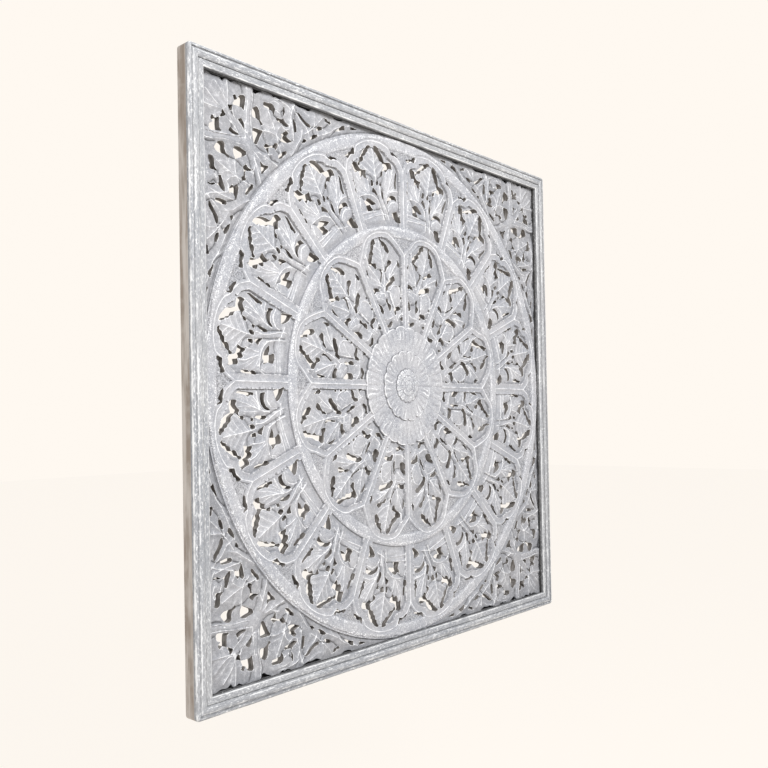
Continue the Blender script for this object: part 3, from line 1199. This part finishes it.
def makeRosette(plan):
    angles = np.arange(around) * math.tau / around
    loops = []
    masks = {"wear": [], "hollow": [], "crest": []}
    rng = np.random.default_rng(plan["seed"])

    def addLoop(radius, height, wear, hollow, crest=0.0, lean=plan["lean"]):
        height = np.broadcast_to(height, around)
        loop = np.stack([radius * np.sin(angles) - lean, -height, radius * np.cos(angles)], 1)
        loops.append(loop * mm + (0, 0, patternMiddle))
        for key, value in (("wear", wear), ("hollow", hollow), ("crest", crest)):
            masks[key].append(np.broadcast_to(value, around))

    for tier in plan["tiers"]:
        tier["uneven"] = rng.uniform(0, plan["uneven"], tier["petals"]) * tier["reach"]
        tier["lively"] = rng.uniform(*plan["lively"], tier["petals"])
    foot = innerField["inner"] - 0.03
    addLoop(foot, 0.0, 0.0, 0.0, lean=0)
    addLoop(foot, plan["foot"], 0.0, 0.8, lean=0)
    below = plan["below"]
    for tier in plan["tiers"]:
        share = angles * tier["petals"] / math.tau
        petal = share.astype(int) % tier["petals"]
        across = (share % 1) * 2 - 1  # -1 and 1 between two petals
        beside = np.abs(across)
        lively = tier["lively"][petal]
        edge = tier["reach"] - tier["notch"] * beside**3 - tier["uneven"][petal] * (1 - across**2)
        rounded = np.sqrt(np.clip(1 - beside**2.6, 0, 1))  # each petal bulges between two valleys
        addLoop(edge + 0.3, below, 0.0, 1.0)
        for t in (k / (tier["rings"] - 1) for k in range(tier["rings"])):
            inward = 0.5 + (tier["reach"] - tier["notch"] - tier["inner"]) * t**1.15
            rim = math.exp(-((inward / 2.2) ** 2))
            pleat = tier["swell"] * (1 - 0.55 * t)
            sway = 0.12 * np.sin(9 * t + 5 * lively)
            crease = bell(across - sway, 0.16) * math.sin(math.pi * min(1.0, t * 1.1 + 0.06))
            ribs = bell(np.abs(across - sway) - 0.36, 0.13) * math.sin(math.pi * min(1.0, t * 0.85 + 0.15))
            height = tier["edge"] + (tier["middle"] - tier["edge"]) * t
            height = height - pleat * (1 - rounded) - 0.6 * pleat * crease - 0.25 * rim
            wear = tier["white"] * np.maximum(rim * (1 - 0.5 * beside**6), 0.85 * ribs * lively)
            hollow = np.maximum(0.45 * np.clip((beside - 0.88) / 0.12, 0, 1), 0.35 * crease)
            radius = np.maximum(edge - inward, tier["inner"])
            addLoop(radius, height, wear, hollow * (1 - 0.5 * rim), tier["speckle"])
        below = tier["middle"] - 0.4
    ends = [(-plan["lean"] * mm, -plan["top"] * mm, patternMiddle), (0, 0, patternMiddle)]
    vertices = np.vstack([*loops, ends])
    middleFront, middleBack = len(vertices) - 2, len(vertices) - 1
    last = (len(loops) - 1) * around
    pairs = [(i, (i + 1) % around) for i in range(around)]
    faces = [(r + i, r + around + i, r + around + j, r + j) for r in range(0, last, around) for i, j in pairs]
    for i, j in pairs:
        faces += [(last + i, middleFront, last + j), (i, j, middleBack)]
    masks = {key: np.hstack([*values, [0.3, 0.0]]) for key, values in masks.items()}
    mesh = meshWithMasks("rosette", [tuple(v) for v in vertices], faces, masks)
    mesh.materials.append(carvingPaint)
    mesh.materials.append(sawnWood)
    bare = [int(k < around or middleBack in f) for k, f in enumerate(faces)]
    mesh.polygons.foreach_set("material_index", bare)
    print("rosette", len(faces), "faces")
    return finishedPiece("rosette", mesh, sharpAngle=60)


# The moulded rails: worn outer edge, groove, bead, groove and flat lip, mitred at the corners
railPlan = {
    "cornerRadius": 6.0,
    "cornerSteps": 4,
    "cornerSpacing": 0.6,
    "stations": 150,
    "seed": 31,
    "unevenness": 0.22,
    "edge": {"in": 4.6, "up": 20.8, "radius": 4.6, "wear": (0.3, 0.6, 0.78, 0.6, 0.3, 0.15, 0.12)},
    "bead": {"in": 11.6, "up": 17.9, "radius": 8.0, "narrower": 0.92,
             "wear": (0.1, 0.15, 0.35, 0.7, 0.5, 0.2, 0.12, 0.12, 0.3, 0.65, 0.3, 0.1, 0)},
}


# Each point holds its distance in from the outer edge, its height from the wall, its wear and its hollow.
def railProfile(edge, bead):
    points = [(0.0, 0.0, 0, 0), (0.0, 9.0, 0, 0), (0.0, 18.5, 0.1, 0)]
    for k, worn in enumerate(edge["wear"]):
        t = math.radians(180 - 15 * k)
        along, up = edge["in"] + edge["radius"] * math.cos(t), edge["up"] + edge["radius"] * math.sin(t)
        points.append((along, up, worn, 0))
    points += [(5.3, 24.6, 0.2, 0.45), (5.8, 23.4, 0, 0.7)]
    for k, worn in enumerate(bead["wear"]):
        t = math.radians(138 - 8 * k)
        along = bead["in"] + bead["radius"] * math.cos(t) * bead["narrower"]
        up = bead["up"] + bead["radius"] * math.sin(t)
        points.append((along, up, worn, 0.35 if k in (0, 12) else 0.05))
    points += [(17.3, 21.2, 0, 0.7), (17.7, 21.2, 0, 0.6), (18.1, 22.4, 0.6, 0.1)]
    points += [(19.2, 22.6, 0.3, 0), (20.8, 22.5, 0.1, 0.1), (24.8, 22.3, 0.15, 0), (25.8, 22.2, 0.75, 0)]
    points += [(26.7, 21.6, 0.75, 0), (27.0, 20.8, 0.1, 0.3), (27.0, 17.0, 0, 0.95), (27.0, 12.8, 0, 1.45)]
    points += [(18.0, 12.8, 0, 0), (18.0, 0.0, 0, 0)]
    return points


# One line of a rail, from one mitre to the other
def railLine(plan, depth):
    corner, stations, steps = plan["cornerRadius"], plan["stations"], plan["cornerSteps"]
    beside = panelHalf - depth
    if depth < corner:
        last = panelHalf - corner
        turns = (math.radians(45 * j / steps) for j in range(1, steps + 1))
        reach = corner - depth
        end = [(last + reach * math.sin(t), last + reach * math.cos(t)) for t in turns]
    else:
        last = beside - plan["cornerSpacing"] * steps
        end = [(beside - plan["cornerSpacing"] * (steps - j), beside) for j in range(1, steps + 1)]
    line = [(last * (2 * k / stations - 1), beside) for k in range(stations + 1)]
    return [(-x, y) for x, y in reversed(end)] + line + end


def makeRail(side, quarter, paint, wood):
    plan = railPlan
    rng = np.random.default_rng(plan["seed"] + quarter)
    phases = rng.uniform(0, math.tau, (6, 2))[:, 0]
    turn = math.radians(90 * quarter)
    vertices = []
    masks = {"wear": [], "hollow": [], "crest": []}
    profile = railProfile(plan["edge"], plan["bead"])
    for depth, height, wear, hollow in profile:
        for x, y in railLine(plan, depth):
            waves = (math.sin(x * 0.02 * n**1.4 + phase) / n for n, phase in enumerate(phases, 1))
            h = height
            if 14 < height < 25.9 and wear > 0.3:
                h = height - plan["unevenness"] * max(0.0, 0.5 + 0.5 * sum(waves))
            turnedX = x * math.cos(turn) + y * math.sin(turn)
            turnedY = y * math.cos(turn) - x * math.sin(turn)
            vertices.append((turnedX * mm, -h * mm, turnedY * mm + patternMiddle))
            masks["wear"].append(wear)
            masks["hollow"].append(hollow)
            masks["crest"].append(0.22 if height > 21.5 and hollow < 0.3 else 0.12 if height > 15 else 0.0)
    rows = len(profile)
    perRow = len(vertices) // rows
    faces, bare = [], []
    for r in range(rows):
        first, second = r * perRow, (r + 1) % rows * perRow
        faces += [(first + i, second + i, second + i + 1, first + i + 1) for i in range(perRow - 1)]
        bare += [int(r < 2 or r >= rows - 3)] * (perRow - 1)
    faces.append(tuple(r * perRow for r in reversed(range(rows))))
    faces.append(tuple(r * perRow + perRow - 1 for r in range(rows)))
    bare += [1, 1]
    mesh = meshWithMasks("moulding_" + side, vertices, faces, masks)
    mesh.materials.append(paint)
    mesh.materials.append(wood)
    mesh.polygons.foreach_set("material_index", bare)
    piece = finishedPiece("moulding_" + side, mesh, sharpAngle=35)
    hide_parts("rail_" + side)
    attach(piece, "root")


for quarter, side in enumerate(("top", "right", "bottom", "left")):
    upright = quarter % 2
    paint, wood = (mouldingPaint, railWood) if upright else (mouldingPaintAcross, railWoodAcross)
    makeRail(side, quarter, paint, wood)
print("rails made")

carvings = [makeField(outerField, "outer_fields"), makeField(innerField, "inner_fields")]
carvings += [makeCorners(cornerPlan), makeRosette(rosettePlan)]
for piece in carvings:
    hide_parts("carved_board")
    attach(piece, "root")
print("carving made")

# Floor, backdrop light and lamps
studio = {
    "cream": (1.0, 0.945, 0.879),
    "skyLight": (0.93, 0.96, 1.0, 1),
    "skyStrength": 0.5,
    "floorHeight": -1.45,
    "floorHalf": 14,
    "floorColour": (0.07, 0.066, 0.062, 1),
    "floorGlow": 0.945,
    "key": {"place": (-0.6, -2.4, 0.85), "size": 1.0, "power": 94},
    "fill": {"place": (-2.6, -0.9, -0.2), "size": 1.8, "power": 13},
}


def makeSky():
    world = bpy.data.worlds.new("studioSky")
    bpy.context.scene.world = world
    world.use_nodes = True
    tree = world.node_tree
    seen = tree.nodes["Background"]
    seen.inputs["Color"].default_value = (*studio["cream"], 1)
    seen.inputs["Strength"].default_value = 1.0
    values = {"Color": studio["skyLight"], "Strength": studio["skyStrength"]}
    lit = addNode(tree, "ShaderNodeBackground", values)
    camera = addNode(tree, "ShaderNodeLightPath").outputs["Is Camera Ray"]
    mixed = addNode(tree, "ShaderNodeMixShader", {0: camera, 1: lit.outputs[0], 2: seen.outputs[0]})
    tree.links.new(mixed.outputs[0], tree.nodes["World Output"].inputs["Surface"])


def makeLamp(name, lamp):
    data = bpy.data.lights.new(name, "AREA")
    data.shape = "DISK"
    data.size = lamp["size"]
    data.energy = lamp["power"]
    light = bpy.data.objects.new(name, data)
    light.location = lamp["place"]
    aim = Vector((0, 0, patternMiddle)) - Vector(lamp["place"])
    light.rotation_euler = aim.to_track_quat("-Z", "Y").to_euler()
    bpy.context.scene.collection.objects.link(light)


def makeFloor():
    reach, z = studio["floorHalf"], studio["floorHeight"]
    corners = [(-reach, -reach, z), (reach, -reach, z), (reach, reach, z), (-reach, reach, z)]
    mesh = bpy.data.meshes.new("floor")
    mesh.from_pydata(corners, [], [(0, 1, 2, 3)])
    looks = {
        "Base Color": studio["floorColour"],
        "Roughness": 0.9,
        "Specular IOR Level": 0.0,
        "Emission Color": (*studio["cream"], 1),
        "Emission Strength": studio["floorGlow"],
    }
    mesh.materials.append(newMaterial("paleFloor", looks)[0])
    floor = bpy.data.objects.new("floor", mesh)
    bpy.context.scene.collection.objects.link(floor)


makeSky()
for name in ("key", "fill"):
    makeLamp(name, studio[name])
makeFloor()
bpy.context.scene.view_settings.view_transform = "Standard"
print("studio made")
